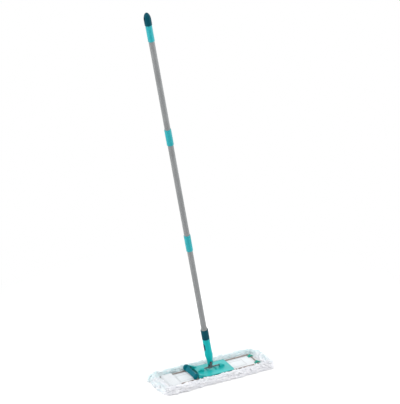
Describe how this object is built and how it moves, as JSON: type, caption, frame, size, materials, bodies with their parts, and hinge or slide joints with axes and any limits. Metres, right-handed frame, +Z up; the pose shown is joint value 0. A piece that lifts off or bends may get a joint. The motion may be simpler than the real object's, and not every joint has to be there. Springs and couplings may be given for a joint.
{
  "type": "flat_mop",
  "caption": "Flat floor mop with a tufted washable cover on a folding wire frame, a pedal plate, a two-axis steel joint and a plug-together handle with a hanging eye.",
  "frame": {"origin": "middle of the cover's flat sole, on the floor", "axes": "+X along the head to the right, away from the pedal; +Y across the head to the back; +Z up, with the handle leaning towards -X"},
  "size_m": [0.4791, 0.153, 1.3983],
  "materials": {
    "plate_plastic": "fine moulded turquoise plastic, satin",
    "turquoise_plastic": "moulded turquoise plastic, satin",
    "petrol_plastic": "moulded petrol-blue plastic, satin",
    "grey_plastic": "light grey plastic, matte",
    "clip_plastic": "dark green plastic, matte",
    "joint_steel": "plain zinc-plated steel, dull",
    "frame_wire": "dark steel wire, dull",
    "handle_tube": "silver-grey coated steel tube, satin with a fine pattern",
    "microfibre": "white tufted microfibre pile on a woven backing",
    "pocket_cloth": "plain white woven cloth"
  },
  "bodies": {
    "plate": {"centre_plate": "plate_plastic", "axle_rod": "joint_steel", "cover_middle": "microfibre", "fold_strip_left": "microfibre", "fold_strip_right": "microfibre", "pedal_pin_front": "joint_steel", "pedal_pin_back": "joint_steel"},
    "pedal": {"pedal_bar": "petrol_plastic", "pedal_spring": "joint_steel"},
    "left_wing": {"wire_frame_left": "frame_wire", "cover_left": "microfibre", "pocket_flap": "pocket_cloth", "pocket_stud_front": "frame_wire", "pocket_stud_back": "frame_wire"},
    "right_wing": {"wire_frame_right": "frame_wire", "cover_right": "microfibre", "cover_clip_front": "clip_plastic", "cover_clip_back": "clip_plastic"},
    "yoke": {"joint_yoke": "joint_steel", "yoke_pin": "joint_steel", "yoke_washer_front": "joint_steel", "yoke_washer_back": "joint_steel"},
    "lower_handle": {"neck_socket": "turquoise_plastic", "click_adapter": "petrol_plastic", "tube_collar": "grey_plastic", "lower_tube": "handle_tube", "button_spring": "joint_steel"},
    "button": {"release_button": "petrol_plastic"},
    "middle_section": {"lower_coupling": "turquoise_plastic", "middle_tube": "handle_tube"},
    "upper_section": {"upper_coupling": "turquoise_plastic", "upper_tube": "handle_tube", "grip_sleeve": "turquoise_plastic", "end_cap": "petrol_plastic"}
  },
  "joints": [
    {"name": "head_tilt", "type": "hinge", "parent": "plate", "child": "yoke", "pos_m": [0, 0, 0.0256], "axis": [1, 0, 0], "range_deg": [-70, 70]},
    {"name": "handle_swing", "type": "hinge", "parent": "yoke", "child": "lower_handle", "pos_m": [-0.0054, 0, 0.045], "axis": [0, 1, 0], "range_deg": [-50, 70]},
    {"name": "button_press", "type": "slide", "parent": "lower_handle", "child": "button", "axis": [0.9846, 0, 0.1749], "range_m": [0, 0.004], "stiffness_N_per_m": 400, "springref_m": -0.002, "deforming": ["button_spring"]},
    {"name": "middle_section_pull", "type": "slide", "parent": "lower_handle", "child": "middle_section", "axis": [-0.1749, 0, 0.9846], "range_m": [0, 0.031]},
    {"name": "upper_section_pull", "type": "slide", "parent": "middle_section", "child": "upper_section", "axis": [-0.1749, 0, 0.9846], "range_m": [0, 0.029]},
    {"name": "left_wing_fold", "type": "hinge", "parent": "plate", "child": "left_wing", "pos_m": [-0.05, 0, 0.01235], "axis": [0, -1, 0], "range_deg": [0, 85], "deforming": ["fold_strip_left"]},
    {"name": "right_wing_fold", "type": "hinge", "parent": "plate", "child": "right_wing", "pos_m": [0.05, 0, 0.01235], "axis": [0, 1, 0], "range_deg": [0, 85], "deforming": ["fold_strip_right"]},
    {"name": "pedal_press", "type": "hinge", "parent": "plate", "child": "pedal", "pos_m": [-0.0695, 0, 0.024], "axis": [0, -1, 0], "range_deg": [0, 10], "stiffness_Nm_per_rad": 2, "springref_deg": -3.44, "deforming": ["pedal_spring"]}
  ]
}
